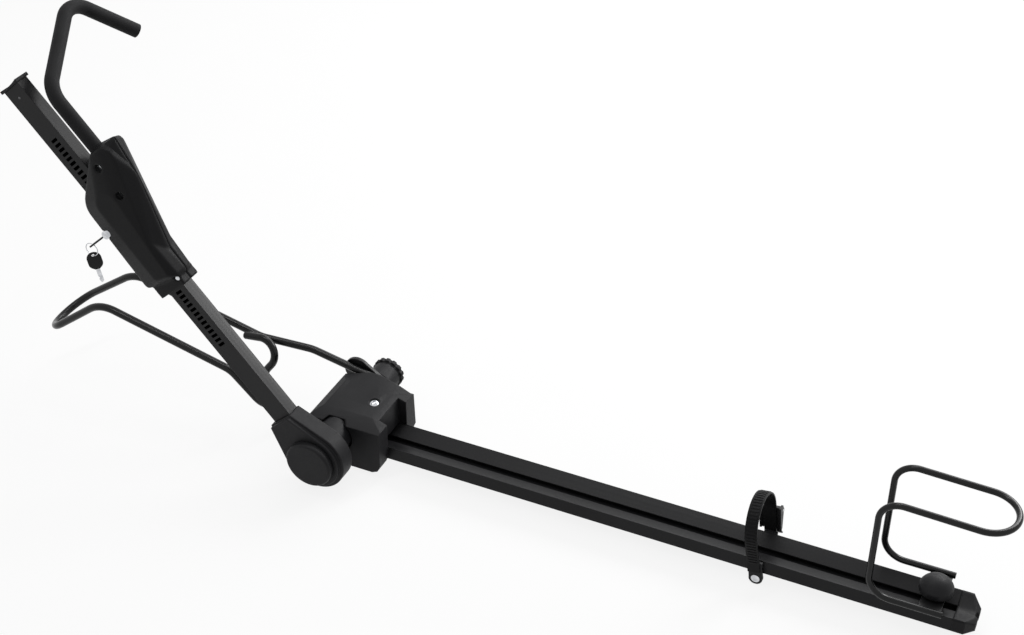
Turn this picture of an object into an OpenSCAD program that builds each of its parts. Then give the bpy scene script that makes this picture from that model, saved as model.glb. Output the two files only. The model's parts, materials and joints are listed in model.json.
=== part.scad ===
// Roof mounted bike carrier: a rail with a folding frame arm, a front wheel hoop,
// a wheel strap and a sliding rear wheel loop.
// +X runs along the rail to its rear end, +Y across it, +Z up.
// The origin is on the rail's underside, at the middle of its length and width.

/* [Rail] */
// Length of the extruded rail
rail_len = 956; // [900:1:1100]
// Width of the rail
rail_w = 60; // [56:1:66]
// Height of the rail's lips
rail_h = 22; // [20:0.5:26]
// Height of the bottom of the trough
trough_h = 14; // [13:0.5:16]
// Width of the flat on each lip
lip_w = 2; // [1:0.5:4]
// Width of the slot in the trough
slot_w = 12; // [10:0.5:13]
// Width of the channel under the slot
channel_w = 20; // [17:0.5:22]
// Thickness of the lips of the slot
slot_lip = 2.2; // [1.6:0.1:2.6]
// Height of the channel under the slot
channel_h = 5; // [4.5:0.1:5.5]
// Width of the slot in the underside
under_slot_w = 10; // [8:0.5:12]
// Thickness of the lips of the underside slot
under_lip = 2; // [1.5:0.1:2.4]
// Height of the channel above the underside slot
under_channel_h = 3.2; // [2.5:0.1:3.4]
// Wall of the rail
rail_wall = 2.4; // [1.6:0.1:3]
// Length of the end cap
cap_len = 30; // [24:1:40]

/* [Base] */
// Distance of the axle from the rail's front end
axle_inset = 35; // [30:1:45]
// Height of the axle
axle_h = 40; // [39:0.5:46]
// Diameter of the axle
axle_d = 12; // [10:0.5:14]
// Length of the base ahead of the axle
base_back = 43; // [41:1:50]
// Length of the base behind the axle
base_front = 75; // [70:1:84]
// Width of the base at its shoulders
base_w = 112; // [108:1:120]
// Height of the base's flat top
base_h = 72; // [71:1:80]
// Height of the base at its front and rear edges
base_edge_h = 64; // [62:0.5:66]
// Width of the base's flat top
base_flat_w = 66; // [60:1:72]
// Drop of the base below the rail's underside
base_drop = 9; // [4:1:14]
// Distance of the base bolt from the axle
base_bolt_x = 38; // [36:1:42]
// Diameter of the base bolt's shank
base_bolt_d = 8; // [6:0.5:9]

/* [Arm] */
// Angle of the arm above the horizontal
arm_angle = 48.8; // [40:0.1:60]
// Distance of the arm's middle from the rail's middle
arm_off = 105; // [103:1:112]
// Depth of the arm's tube along the bike
arm_d = 35; // [32:0.5:38]
// Thickness of the arm's tube
arm_t = 20; // [18:0.5:22]
// Wall of the arm's tube
arm_wall = 2.2; // [1.6:0.1:2.6]
// Distance of the top of the tube from the axle
arm_len = 676; // [660:1:720]
// Radius of the round foot
foot_r = 50; // [47:1:52]
// Thickness of the foot
foot_t = 33; // [32:0.5:36]
// Distance of the foot's top edge from the axle
foot_top = 76; // [72:1:84]
// Radius of the drum between the foot and the base
hub_r = 26; // [24:0.5:28]
// Radius of the foot's round cap
foot_cap_r = 37; // [34:1:40]
// Spacing of the ratchet slots
rack_pitch = 8; // [7.5:0.1:9]
// Number of ratchet slots
rack_count = 47; // [40:1:49]
// Distance of the first ratchet slot from the axle
rack_start = 216; // [210:1:222]

/* [Slider] */
// Distance of the slider's lower end from the axle
slider_low = 318; // [312:1:330]
// Width of the slider
slider_w = 54; // [53:1:60]
// Distance of the hook's rod from the arm's middle
hook_off = 47; // [45:0.5:49]
// Diameter of the hook's steel core
hook_d = 14; // [12:0.5:16]
// Diameter of the hook's soft sleeve
hook_sleeve_d = 21; // [19:0.5:23]
// Height of the hook's first bend above the slider's lower end
hook_neck = 322; // [310:1:340]
// Rise of the hook from its first bend to its crook
hook_rise = 89; // [80:1:100]
// Reach of the hook across the bike from its first bend to its crook
hook_reach = 135; // [125:1:145]
// Drop of the hook's tip below the crook
hook_drop = 89; // [80:1:100]
// Reach of the hook's tip past the crook
hook_tip = 71; // [60:1:80]
// Diameter of the lock's barrel
lock_d = 13; // [12:0.5:13.5]

/* [Front hoop] */
// Diameter of the hoop's rod
hoop_d = 12; // [10:0.5:13]
// Distance between the hoop's two sides
hoop_w = 91.4; // [84:0.2:96]
// Distance of the hoop's far end from the axle
hoop_len = 535; // [520:1:580]
// Distance of the hoop's crest from the axle
hoop_crest = 414; // [400:1:440]
// Height of the hoop's crest above the axle
hoop_crest_h = 111; // [90:1:120]
// Radius of the barrel that the hoop turns with
hoop_hub_r = 23; // [21:0.5:25]
// Radius of the tension knob
knob_r = 25.5; // [24:0.5:28]

/* [Strap] */
// Place of the strap along the rail
strap_x = 200; // [150:1:240]
// Width of the strap
strap_w = 17.5; // [16:0.5:22]
// Thickness of the strap
strap_t = 2.4; // [2:0.1:3]
// Height of the strap's loop above the rail's underside
strap_h = 107; // [100:1:125]
// Radius of the strap's loop
strap_arc_r = 44; // [42:0.5:46]

/* [Rear loop] */
// Distance of the rear clamp from the rail's rear end
loop_inset = 31; // [27:1:48]
// Diameter of the loop's rod
loop_d = 9; // [8:0.5:10]
// Distance between the loop's two wires
loop_w = 82; // [78:0.5:90]
// Height of the loop's top run
loop_h = 197; // [180:1:210]
// Length of the loop's top run
loop_top_len = 168; // [150:1:190]
// Length of the loop's bottom wires
loop_foot_len = 102; // [98:1:112]
// Radius of the rear knob
rear_knob_r = 23; // [20:0.5:25]

/* [Hidden] */
$fn = 64;
// clearances: parts that move past each other, shafts in bores, parts that are fixed together
slide_gap = 0.3;
run_gap = 0.05;
fit_gap = 0.05;
// bent rods: overlap of a straight into a bend, and how much finer the bend is
lap = 0.4;
neck = 0.01;

axle_x = -rail_len / 2 + axle_inset;
axle_at = [axle_x, 0, axle_h];
flank_rise = (rail_h - trough_h) / (rail_w / 2 - lip_w - slot_w / 2);
channel_floor = trough_h - slot_lip - channel_h;

// base
base_half = base_w / 2;
base_draft = 3;
bush_d = axle_d + 6;
bush_len = 22;
bush_proud = 2;
base_bolt_head_d = 15;
base_bolt_head_h = 4;
nut_w = 17;
nut_h = channel_h - 2 * slide_gap;

// foot, hub and arm
foot_wall = 2.5;
foot_far = -arm_off + arm_t / 2 + foot_wall;
foot_near = foot_far - foot_t;
hub_in = 10;
hub_inner_y = -base_half + hub_in;
axle_head_r = 11;
axle_head_t = 6;
foot_cap_h = 11;
foot_mouth_low = -arm_d / 2 - 7;
foot_mouth_high = arm_d / 2 + 2.5;
arm_bottom = 32;
slot_s = 4.6;
slot_n = 13;
end_flange = 3;
end_pin_d = 4;
end_pin_drop = 18;

// slopes and swell of the base's top
base_slope = 22;
swell_h = 10;
swell_low = base_edge_h - 12;
swell_crest = [6, 16];
swell_start = 12;
// space beside the web that joins the rail's sides
web_fit = 0.02;

seam_gap = 0.1;
// rounds that a half is drawn over: across the arm, along it, radius, depth from the seam
near_lobe = [
    [45.4, 208, 19, 0], [64, 206, 18, 0], [50, 168, 30, 0], [2, 151, 34.4, 0], [18.8, 60, 18.5, 0],
    [64, 204, 16.5, 17], [48, 168, 29, 5], [52, 206, 14, 20], [2, 151, 33.6, 18.6], [18.4, 60, 18, 6],
    [18, 150, 20, 26.6], [14, 60, 12, 26.6]
];
near_toe = [
    [2, 151, 34.4, 0], [-30, 30, 8.4, 0], [27, 20, 8, 0], [2, 151, 33.6, 18.6], [-30, 30, 7.6, 18.6],
    [25, 21, 7.5, 18.6], [18, 150, 20, 26.6], [2, 32, 6, 26.6], [20, 28, 5, 26.6]
];
far_lobe = [
    [45.4, 208, 19, 0], [85.5, 217.8, 3.7, 0], [50, 168, 29.6, 0], [2, 151, 34.4, 0], [18.8, 60, 18.5, 0],
    [44, 206.5, 18, 13], [82.5, 214.8, 3.6, 13], [2, 151, 33.6, 13], [17.5, 60, 16, 13],
    [42.4, 205, 15.5, 18.6], [77, 210, 4.5, 18.6], [18, 150, 20, 18.6], [14, 60, 12, 18.6]
];
far_toe = [
    [2, 151, 34.4, 0], [-30, 30, 8.4, 0], [27, 20, 8, 0], [2, 151, 33.6, 13], [-30, 30, 7.6, 13],
    [25, 21, 7.5, 13], [18, 150, 20, 18.6], [2, 32, 6, 18.6], [20, 28, 5, 18.6]
];
// collar, hook and fasteners of the frame clamp
collar_h = 26;
collar_low = -29;
collar_high = 29;
collar_half = 17;
hook_low = 128;
sleeve_low = 180;
hook_bolt_d = 6;
hook_bolt_s = [152, 199];
hook_bolt_y = 13;
hook_nut_y = 11.5;
nut_t = 3;
bolt_head_d = 11;
bolt_head_t = 4;
shell_screw_at = [23.5, 13];
shell_screw_d = 4;
shell_screw_y = 13;
screw_head_d = 8;
screw_head_t = 3;
head_gap = 0.5;
pawl_s = rack_start + 23 * rack_pitch - slider_low;
pawl_w = 16;
pawl_len = 22;
pawl_t = 5;
pawl_lift = 0.4;
pawl_tooth = 2.6;
tooth_s = 4;
tooth_n = 12;
pawl_back = arm_t / 2 + pawl_lift + pawl_tooth + pawl_t;
spring_d = 8;
spring_wire = 1.1;
spring_len = 5;
spring_curls = 3;
// lock, keys and ring
lock_tilt = 12;
lock_side_y = 18.5;
lock_at = [-35, -arm_off - lock_side_y, 120];
lock_len = 15;
lock_floor = 2;
plug_d = 9;
key_t = 2.4;
blade_t = 1.8;
blade_w = 6;
blade_len = 24;
blade_in = 10;
bow_w = 21;
bow_len = 29;
bow_hole = 8;
bow_rim = 3;
bow_gap = 3;
bow_top = bow_hole / 2 + bow_rim;
bow_hole_z = bow_gap + bow_len - bow_top;
ring_d = 20;
ring_wire = 1.4;
ring_hang = 2;
ring_lean = 22;
spare_turn = -50;
spare_lean = 9;
spare_hang = 2;

// hook from its foot to its tip
hook_corners = [
    [hook_off, -arm_off, hook_low], [hook_off, -arm_off, hook_neck],
    [hook_off, -arm_off + hook_reach, hook_neck + hook_rise],
    [hook_off, -arm_off + hook_reach + hook_tip, hook_neck + hook_rise - hook_drop]
];
hook_bends = [0, 42, 34, 0];
tip_cover = 3;
sleeve_corners = [for (i = [0 : 3]) i == 0 ? [hook_off, -arm_off, sleeve_low] : hook_corners[i]];
core_corners = [for (i = [0 : 3])
    i == 3 ? hook_corners[3] - tip_cover * unit(hook_corners[3] - hook_corners[2]) : hook_corners[i]];
lock_out = [-cos(lock_tilt), -sin(lock_tilt), 0];
ring_top = arm_point(lock_at + [0, 0, slider_low] + (bow_hole_z + ring_hang) * lock_out);
ring_mid = ring_top - ring_d / 2 * [sin(ring_lean), 0, cos(ring_lean)];
ring_low = ring_mid - [0, 0, ring_d / 2];

// front hoop
stem_y = base_half + 10;
ear_t = 6;
ear_y = stem_y + hoop_d / 2 + fit_gap;
hub_near_y = base_half + base_draft + 1;
hub_len = 28;
hub_far_y = ear_y + ear_t + hub_len;
hub_neck_r = 15;
knob_t = 10;
knob_flutes = 14;
hoop_half = hoop_w / 2;
hoop_end_near_h = 20;
hoop_end_far_h = 27;
hoop_corner_r = hoop_half - 0.5;
weld_gap = 0.3;
weld_d = 5;
weld_at = [-197, 62];
weld_y = hoop_half - hoop_d - weld_gap;
cross_dip = 17;
hoop_path = [
    [10, stem_y, 21], [-106, stem_y, 44.3], [-185, hoop_half, 57.6],
    [-hoop_crest, hoop_half, hoop_crest_h], [-hoop_len, hoop_half, hoop_end_far_h],
    [-hoop_len, -hoop_half, hoop_end_near_h], [-hoop_crest, -hoop_half, hoop_crest_h],
    [-183, -hoop_half, 55.7], [-110, -hoop_half, -15], [-176, weld_y - cross_dip, 1.5],
    [-121, weld_y, 73.3], [-205, weld_y, 62.2]
];
hoop_bends = [0, 60, 60, 58, hoop_corner_r, hoop_corner_r, 58, 37.7, 22, 20.8, 24.8, 0];

// strap
cheek_t = 7;
cheek_y = rail_w / 2 + slide_gap;
strap_y = cheek_y + cheek_t;
strap_low = 6;
strap_arc_z = strap_h - strap_arc_r;
strap_corner = [strap_y + strap_t, rail_h - strap_arc_z];
strap_lean = -atan2(strap_corner.y, strap_corner.x) - acos(strap_arc_r / norm(strap_corner));
rib_pitch = 5;
rib_t = 0.8;
rib_w = 2.4;
strap_tilt = 7.6;
strap_root = 9.2;
rivet_at = [10, -7];
rivet_d = 5;
rivet_head_d = 13;
rivet_head_t = 2.5;
boss_r = 10;
cross_bar_d = 2 * (-rivet_at.y - slide_gap);
buckle_h = 35;
buckle_low = -36;
buckle_t = 4;
buckle_w = strap_w + 14;
buckle_y = strap_arc_r + fit_gap;
buckle_ear = 3;
lever_pin_d = 4;
lever_pin_out = 9;
lever_pin_h = 27;
lever_pin_at = [buckle_y + lever_pin_out, buckle_low + lever_pin_h];
lever_len = 38;
lever_play = 0.5;

// rear loop
clamp_low = rail_h + slide_gap + 6;
clamp_t = 4;
clamp_foot_w = 4;
clamp_len = 30;
clamp_bolt_d = 8;
clamp_head_t = 3.6;
clamp_head_z = channel_floor + channel_h - slide_gap - clamp_head_t;
wire_z = clamp_low + loop_d / 2;
loop_x = rail_len / 2 - loop_inset;
loop_tail = 18;
loop_leg_x = loop_x + loop_tail - loop_foot_len;
loop_sag = 6;
loop_path = [
    [loop_leg_x + loop_foot_len, -loop_w / 2, wire_z], [loop_leg_x, -loop_w / 2, wire_z],
    [loop_leg_x, -loop_w / 2, loop_h], [loop_leg_x + loop_top_len, -loop_w / 2, loop_h - loop_sag],
    [loop_leg_x + loop_top_len, loop_w / 2, loop_h - loop_sag], [loop_leg_x, loop_w / 2, loop_h],
    [loop_leg_x, loop_w / 2, wire_z], [loop_leg_x + loop_foot_len, loop_w / 2, wire_z]
];
loop_bends = [0, 32, 30, loop_w / 2 - 0.2, loop_w / 2 - 0.2, 30, 32, 0];
rear_knob_low = clamp_low + clamp_t + slide_gap;
rear_neck_r = 14;
rear_neck_h = 3.5;
rear_skirt_h = 8;
rear_dome_h = 15;
insert_d = 14;
insert_h = 17;

// Frames and bent rods

function unit(v) = v / norm(v);
function across(v) = unit(abs(v.z) < 0.9 ? cross(v, [0, 0, 1]) : cross(v, [1, 0, 0]));
function bend_angle(a, b, c) = acos(unit(b - a) * unit(c - b));
function trim(p, r, i) = i == 0 || i == len(p) - 1 ? 0
    : r[i] * tan(bend_angle(p[i - 1], p[i], p[i + 1]) / 2);

module place(o, x, y, z) {
    multmatrix([[x.x, y.x, z.x, o.x], [x.y, y.y, z.y, o.y], [x.z, y.z, z.z, o.z]]) children();
}

// a round rod of diameter d along the corners p, rounded there to the radii r
module bent_rod(p, r, d) {
    for (i = [0 : len(p) - 2]) {
        along = unit(p[i + 1] - p[i]);
        side = across(along);
        lap_low = i == 0 ? 0 : lap;
        lap_high = i == len(p) - 2 ? 0 : lap;
        start = p[i] + along * (trim(p, r, i) - lap_low);
        run = norm(p[i + 1] - p[i]) - trim(p, r, i) - trim(p, r, i + 1);
        place(start, side, cross(along, side), along) cylinder(d = d, h = run + lap_low + lap_high);
    }
    for (i = [1 : len(p) - 2]) {
        into = unit(p[i] - p[i - 1]);
        out = unit(p[i + 1] - p[i]);
        inward = unit(out - (out * into) * into);
        centre = p[i] - into * trim(p, r, i) + inward * r[i];
        place(centre, -inward, into, cross(-inward, into))
            rotate_extrude(angle = bend_angle(p[i - 1], p[i], p[i + 1]))
                translate([r[i], 0]) circle(d = d - 2 * neck);
    }
}

// a cylinder along +Y that starts at y
module y_rod(y, length, d) {
    translate([0, y, 0]) rotate([-90, 0, 0]) cylinder(d = d, h = length);
}

// an outline in (x, z), extruded along +Y from y
module y_slab(y, thickness) {
    translate([0, y + thickness, 0]) rotate([90, 0, 0]) linear_extrude(thickness) children();
}

// an outline in (y, z), extruded along +X from x
module x_slab(x, length) {
    translate([x, 0, 0]) rotate([90, 0, 90]) linear_extrude(length) children();
}

module at_axle() {
    translate(axle_at) children();
}

// x across the arm, away from the hoop; y across the rail; z up the arm from the axle
module on_arm() {
    at_axle() rotate([0, arm_angle - 90, 0]) children();
}

// the part's coordinates of a point given on the arm
function arm_point(p) = axle_at + [
    p.x * sin(arm_angle) - p.z * cos(arm_angle), p.y, p.x * cos(arm_angle) + p.z * sin(arm_angle)
];

module on_slider() {
    on_arm() translate([0, 0, slider_low]) children();
}

// z out of the lock, y up the arm
module on_lock() {
    on_slider() place(lock_at, [-lock_out.y, lock_out.x, 0], [0, 0, 1], lock_out) children();
}

// Rail

module rail_outline() {
    polygon([
        [-rail_w / 2, 0], [rail_w / 2, 0], [rail_w / 2, rail_h], [rail_w / 2 - lip_w, rail_h],
        [slot_w / 2, trough_h], [-slot_w / 2, trough_h],
        [-rail_w / 2 + lip_w, rail_h], [-rail_w / 2, rail_h]
    ]);
}

// the hollow under one flank of the trough, drawn in by the given margin
module flank_hollow(margin) {
    inner = channel_w / 2 + rail_wall + margin;
    outer = rail_w / 2 - rail_wall - margin;
    top = trough_h - rail_wall - margin;
    polygon([
        [inner, rail_wall + margin], [outer, rail_wall + margin],
        [outer, top + (outer - slot_w / 2) * flank_rise], [inner, top + (inner - slot_w / 2) * flank_rise]
    ]);
}

module rail_section() {
    difference() {
        rail_outline();
        translate([-slot_w / 2, channel_floor]) square([slot_w, rail_h]);
        translate([-channel_w / 2, channel_floor]) square([channel_w, channel_h]);
        translate([-under_slot_w / 2, -1]) square([under_slot_w, under_lip + 1 + under_channel_h]);
        translate([-channel_w / 2, under_lip]) square([channel_w, under_channel_h]);
        flank_hollow(0);
        mirror([1, 0]) flank_hollow(0);
    }
}

// the web between the two slots, with the given space at each edge
module web_section(space) {
    web_low = under_lip + under_channel_h;
    translate([-channel_w / 2 + space, web_low]) square([channel_w - 2 * space, channel_floor - web_low]);
}

module rail_half(side) {
    color("#1c1c1e") x_slab(-rail_len / 2, rail_len) intersection() {
        difference() {
            rail_section();
            web_section(0);
        }
        mirror([side, 0]) translate([0, -1]) square([rail_w, rail_h + 2]);
    }
}

module rail_near_side() {
    rail_half(1);
}

module rail_far_side() {
    rail_half(0);
}

module rail_web() {
    color("#1c1c1e") x_slab(-rail_len / 2, rail_len) web_section(web_fit);
}

module rail_end_cap() {
    corner = cap_len * 0.45;
    notch_w = 8;
    notch_deep = 4;
    plug_len = 20;
    color("#19191b") translate([rail_len / 2, 0, 0]) {
        difference() {
            intersection() {
                x_slab(0, cap_len) rail_outline();
                linear_extrude(rail_h) polygon([
                    [0, -rail_w / 2], [cap_len - corner, -rail_w / 2], [cap_len, -rail_w / 2 + corner],
                    [cap_len, rail_w / 2 - corner], [cap_len - corner, rail_w / 2], [0, rail_w / 2]
                ]);
                y_slab(-rail_w / 2, rail_w) polygon([
                    [0, 0], [cap_len, 0], [cap_len, rail_h / 2], [cap_len - corner, rail_h], [0, rail_h]
                ]);
            }
            translate([cap_len - notch_deep, -notch_w / 2, -1]) cube([cap_len, notch_w, rail_h]);
        }
        for (side = [0, 1]) mirror([0, side, 0])
            x_slab(-plug_len, plug_len + 1) flank_hollow(fit_gap);
    }
}

// Base

module base_side() {
    polygon([
        [-base_back, -base_drop + 10], [-base_back + 10, -base_drop], [base_front - 13, -base_drop],
        [base_front - 4, -base_drop + 4], [base_front, -base_drop + 14], [base_front, base_edge_h],
        [base_front - base_slope, base_h], [-base_back + 14, base_h], [-base_back, base_edge_h]
    ]);
}

module base_section() {
    shoulder = base_edge_h - 2;
    polygon([
        [-base_half - base_draft, -base_drop], [base_half + base_draft, -base_drop],
        [base_half, shoulder], [base_flat_w / 2, base_h], [-base_flat_w / 2, base_h], [-base_half, shoulder]
    ]);
}

// the swell that lifts the top towards the far side, seen along Y
module swell_side() {
    inset = 0.2;
    polygon([
        [-base_back + inset, swell_low], [-base_back + inset, base_edge_h],
        [swell_crest[0], base_h + swell_h], [swell_crest[1], base_h + swell_h],
        [base_front - base_slope, base_h - 2], [base_front - inset, base_edge_h - 4],
        [base_front - inset, swell_low]
    ]);
}

// the same swell seen along X
module swell_section() {
    polygon([
        [-swell_start, swell_low], [-swell_start, base_h - 0.3],
        [base_half - 0.8, base_h + swell_h - 1], [base_half - 0.4, swell_low]
    ]);
}

module base_housing() {
    notch_deep = 13;
    notch_half = rail_w / 2;
    arch_r = hub_r + 3;
    color("#1b1b1d") difference() {
        union() {
            intersection() {
                translate([axle_x, 0, 0]) y_slab(-base_w, 2 * base_w) base_side();
                x_slab(axle_x - base_back - 1, base_back + base_front + 2) base_section();
            }
            intersection() {
                translate([axle_x, 0, 0]) y_slab(-base_w, 2 * base_w) swell_side();
                x_slab(axle_x - base_back - 1, base_back + base_front + 2) swell_section();
            }
        }
        x_slab(-rail_len / 2 - fit_gap, rail_len) {
            translate([-rail_w / 2 - fit_gap, -base_drop - 1])
                square([rail_w + 2 * fit_gap, base_drop + 1 + rail_h + fit_gap]);
        }
        translate([axle_x + base_front - notch_deep, -notch_half, 0])
            cube([notch_deep + 1, 2 * notch_half, base_h]);
        at_axle() {
            y_rod(-base_w, 2 * base_w, axle_d + 1);
            y_rod(hub_inner_y - 1, bush_len + 1 + fit_gap, bush_d + 2 * fit_gap);
            y_rod(base_half + bush_proud - bush_len - fit_gap, bush_len + base_draft, bush_d + 2 * fit_gap);
            y_rod(-base_w, base_w + hub_inner_y, 2 * arch_r);
        }
        translate([axle_x + base_bolt_x, 0, 0]) {
            cylinder(d = base_bolt_d + 2 * fit_gap, h = base_h + 1);
            translate([0, 0, base_h]) cylinder(d = base_bolt_head_d + 2, h = swell_h);
        }
    }
}

// a domed head of diameter d and height h on z = 0
module dome_head(d, h) {
    crown = (pow(d / 2, 2) + pow(h, 2)) / (2 * h);
    intersection() {
        cylinder(d = d, h = h);
        translate([0, 0, h - crown]) sphere(r = crown);
    }
}

module base_bolt() {
    socket_w = 5.8;
    socket_deep = 2.5;
    color("#c9ccd0") translate([axle_x + base_bolt_x, 0, 0]) difference() {
        union() {
            translate([0, 0, channel_floor + slide_gap])
                cylinder(d = base_bolt_d, h = base_h - channel_floor - slide_gap + 1);
            translate([0, 0, base_h]) dome_head(base_bolt_head_d, base_bolt_head_h);
        }
        translate([0, 0, base_h + base_bolt_head_h - socket_deep])
            cylinder(d = socket_w, h = 2 * socket_deep, $fn = 6);
    }
}

module base_nut() {
    color("#a9adb2") translate([axle_x + base_bolt_x, 0, channel_floor + slide_gap]) difference() {
        translate([-nut_w / 2, -nut_w / 2, 0]) cube([nut_w, nut_w, nut_h]);
        translate([0, 0, -1]) cylinder(d = base_bolt_d + 2 * fit_gap, h = nut_h + 2);
    }
}

module pivot_axle() {
    color("#9da1a6") at_axle() {
        y_rod(foot_near - slide_gap, hub_far_y + knob_t - 6 - foot_near, axle_d);
        translate([0, foot_near - slide_gap, 0]) rotate([90, 0, 0])
            cylinder(r = axle_head_r, h = axle_head_t, $fn = 6);
    }
}

module axle_bush() {
    rotate([-90, 0, 0]) difference() {
        cylinder(d = bush_d, h = bush_len);
        translate([0, 0, -1]) cylinder(d = axle_d + 2 * fit_gap, h = bush_len + 2);
    }
}

module axle_bushes() {
    color("#6d6f72") at_axle() {
        translate([0, hub_inner_y, 0]) axle_bush();
        translate([0, base_half + bush_proud, 0]) mirror([0, 1, 0]) axle_bush();
    }
}

// Arm

module arm_hub() {
    color("#1d1d1f") at_axle() difference() {
        y_rod(foot_far + fit_gap, hub_inner_y - foot_far - fit_gap - slide_gap, 2 * hub_r);
        y_rod(foot_far - 1, hub_inner_y - foot_far + 2, axle_d + 2 * run_gap);
    }
}

// where the line from a corner outside the round touches it
function touch(r, corner, turn) =
    r * [cos(atan2(corner.y, corner.x) + turn * acos(r / norm(corner))),
         sin(atan2(corner.y, corner.x) + turn * acos(r / norm(corner)))];

// round below, with straight sides that run up to a mouth, in (x, z)
module keystone(r, inset, top) {
    low = [foot_mouth_low + inset, top];
    high = [foot_mouth_high - inset, top];
    circle(r = r);
    polygon([[0, 0], touch(r, high, -1), high, low, touch(r, low, 1)]);
}

module arm_foot() {
    bevel = 6;
    color("#1a1a1c") on_arm() difference() {
        union() {
            y_slab(foot_near + bevel, foot_t - bevel) keystone(foot_r, 0, foot_top);
            y_slab(foot_near, foot_t - bevel) keystone(foot_r - bevel, 2, foot_top - 2);
        }
        y_rod(foot_near - 1, foot_t + 2, axle_d + 2 * run_gap);
        translate([-arm_d / 2 - fit_gap, -arm_off - arm_t / 2 - fit_gap, arm_bottom - fit_gap])
            cube([arm_d + 2 * fit_gap, arm_t + 2 * fit_gap, foot_top]);
    }
}

module foot_cap() {
    wall = 3;
    color("#202022") at_axle() translate([0, foot_near, 0]) rotate([90, 0, 0])
    rotate_extrude() difference() {
        union() {
            square([foot_cap_r - 4, foot_cap_h]);
            square([foot_cap_r, foot_cap_h - 4]);
            translate([foot_cap_r - 4, foot_cap_h - 4]) circle(r = 4);
        }
        translate([0, -1]) square([foot_cap_r - 4 - wall, foot_cap_h + 1 - wall]);
        translate([-foot_cap_r, 0]) square([foot_cap_r, foot_cap_h + 1]);
    }
}

module arm_tube() {
    color("#2b2b2e") on_arm() translate([0, -arm_off, 0]) difference() {
        translate([-arm_d / 2, -arm_t / 2, arm_bottom]) cube([arm_d, arm_t, arm_len - arm_bottom]);
        translate([-arm_d / 2 + arm_wall, -arm_t / 2 + arm_wall, arm_bottom - 1])
            cube([arm_d - 2 * arm_wall, arm_t - 2 * arm_wall, arm_len]);
        for (i = [0 : rack_count - 1])
            translate([-slot_n / 2, -arm_t / 2 - 1, rack_start + i * rack_pitch - slot_s / 2])
                cube([slot_n, arm_wall + 2, slot_s]);
        translate([0, 0, arm_len - end_pin_drop]) y_rod(-arm_t, 2 * arm_t, end_pin_d + 2 * fit_gap);
    }
}

module arm_end_cap() {
    plug_len = 26;
    flare = 5;
    dish = 2;
    dish_r = 98;
    plug_gap = arm_wall + fit_gap;
    color("#161617") on_arm() translate([0, -arm_off, arm_len]) difference() {
        union() {
            translate([-arm_d / 2 - end_flange, -arm_t / 2 - end_flange, 0])
                cube([arm_d + 2 * end_flange, arm_t + 2 * end_flange, flare]);
            translate([-arm_d / 2 + plug_gap, -arm_t / 2 + plug_gap, -plug_len])
                cube([arm_d - 2 * plug_gap, arm_t - 2 * plug_gap, plug_len + 1]);
        }
        translate([0, 0, flare + dish_r - dish]) y_rod(-arm_t, 2 * arm_t, 2 * dish_r);
        translate([0, 0, -end_pin_drop]) y_rod(-arm_t, 2 * arm_t, end_pin_d + 2 * fit_gap);
    }
}

module end_cap_pin() {
    color("#3a3a3d") on_arm() translate([0, -arm_off, arm_len - end_pin_drop])
        y_rod(-arm_t / 2, arm_t, end_pin_d);
}

// Slider

// a smooth lump over the given rounds
module lump(rounds) {
    skin = 0.2;
    hull() for (c = rounds)
        y_slab(-seam_gap - c[3] - skin, skin) translate([c[0], c[1]]) circle(r = c[2], $fn = 40);
}

// the outer form of one half, from the seam at y = 0 out to -Y
module shell_form(lobe, toe) {
    lump(lobe);
    lump(toe);
    translate([collar_low, -collar_half, 0])
        cube([collar_high - collar_low, collar_half - seam_gap, collar_h]);
}

// what both halves leave free: the arm, the hook and their fasteners
module shell_hollow() {
    beyond = 250;
    translate([-arm_d / 2 - slide_gap, -arm_t / 2 - slide_gap, -1])
        cube([arm_d + 2 * slide_gap, arm_t + 2 * slide_gap, beyond]);
    translate([hook_off, 0, hook_low - fit_gap]) cylinder(d = hook_d + 2 * fit_gap, h = beyond);
    translate([hook_off, 0, sleeve_low - fit_gap]) cylinder(d = hook_sleeve_d + 2 * fit_gap, h = beyond);
    for (s = hook_bolt_s)
        translate([hook_off, 0, s]) y_rod(-slider_w, 2 * slider_w, hook_bolt_d + 2 * fit_gap);
    translate([shell_screw_at.x, 0, shell_screw_at.y])
        y_rod(-slider_w, 2 * slider_w - shell_screw_y, shell_screw_d + 2 * fit_gap);
}

module slider_near_shell() {
    pocket_y = -pawl_back - spring_len - fit_gap;
    color("#161618") difference() {
        on_slider() translate([0, -arm_off, 0]) difference() {
            shell_form(near_lobe, near_toe);
            shell_hollow();
            translate([-pawl_w / 2 - slide_gap, pocket_y, pawl_s - pawl_len / 2 - slide_gap])
                cube([pawl_w + 2 * slide_gap, -pocket_y, pawl_len + 2 * slide_gap]);
            for (s = hook_bolt_s)
                translate([hook_off, 0, s])
                    y_rod(-slider_w, slider_w - hook_bolt_y, bolt_head_d + 2 * head_gap);
            translate([shell_screw_at.x, 0, shell_screw_at.y])
                y_rod(-slider_w, slider_w - shell_screw_y, screw_head_d + 2 * head_gap);
        }
        on_lock() translate([0, 0, -lock_len - fit_gap])
            cylinder(d = lock_d + 2 * fit_gap, h = 2 * lock_len);
    }
}

module slider_far_shell() {
    color("#1f1f21") on_slider() translate([0, -arm_off, 0]) difference() {
        mirror([0, 1, 0]) shell_form(far_lobe, far_toe);
        shell_hollow();
        for (s = hook_bolt_s)
            translate([hook_off, 0, s]) y_rod(hook_nut_y, slider_w, bolt_head_d + 2 * head_gap);
    }
}

module hook_rod() {
    color("#8e9196") on_slider() difference() {
        bent_rod(core_corners, hook_bends, hook_d);
        for (s = hook_bolt_s)
            translate([hook_off, -arm_off, s]) y_rod(-hook_d, 2 * hook_d, hook_bolt_d + 2 * fit_gap);
    }
}

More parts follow.
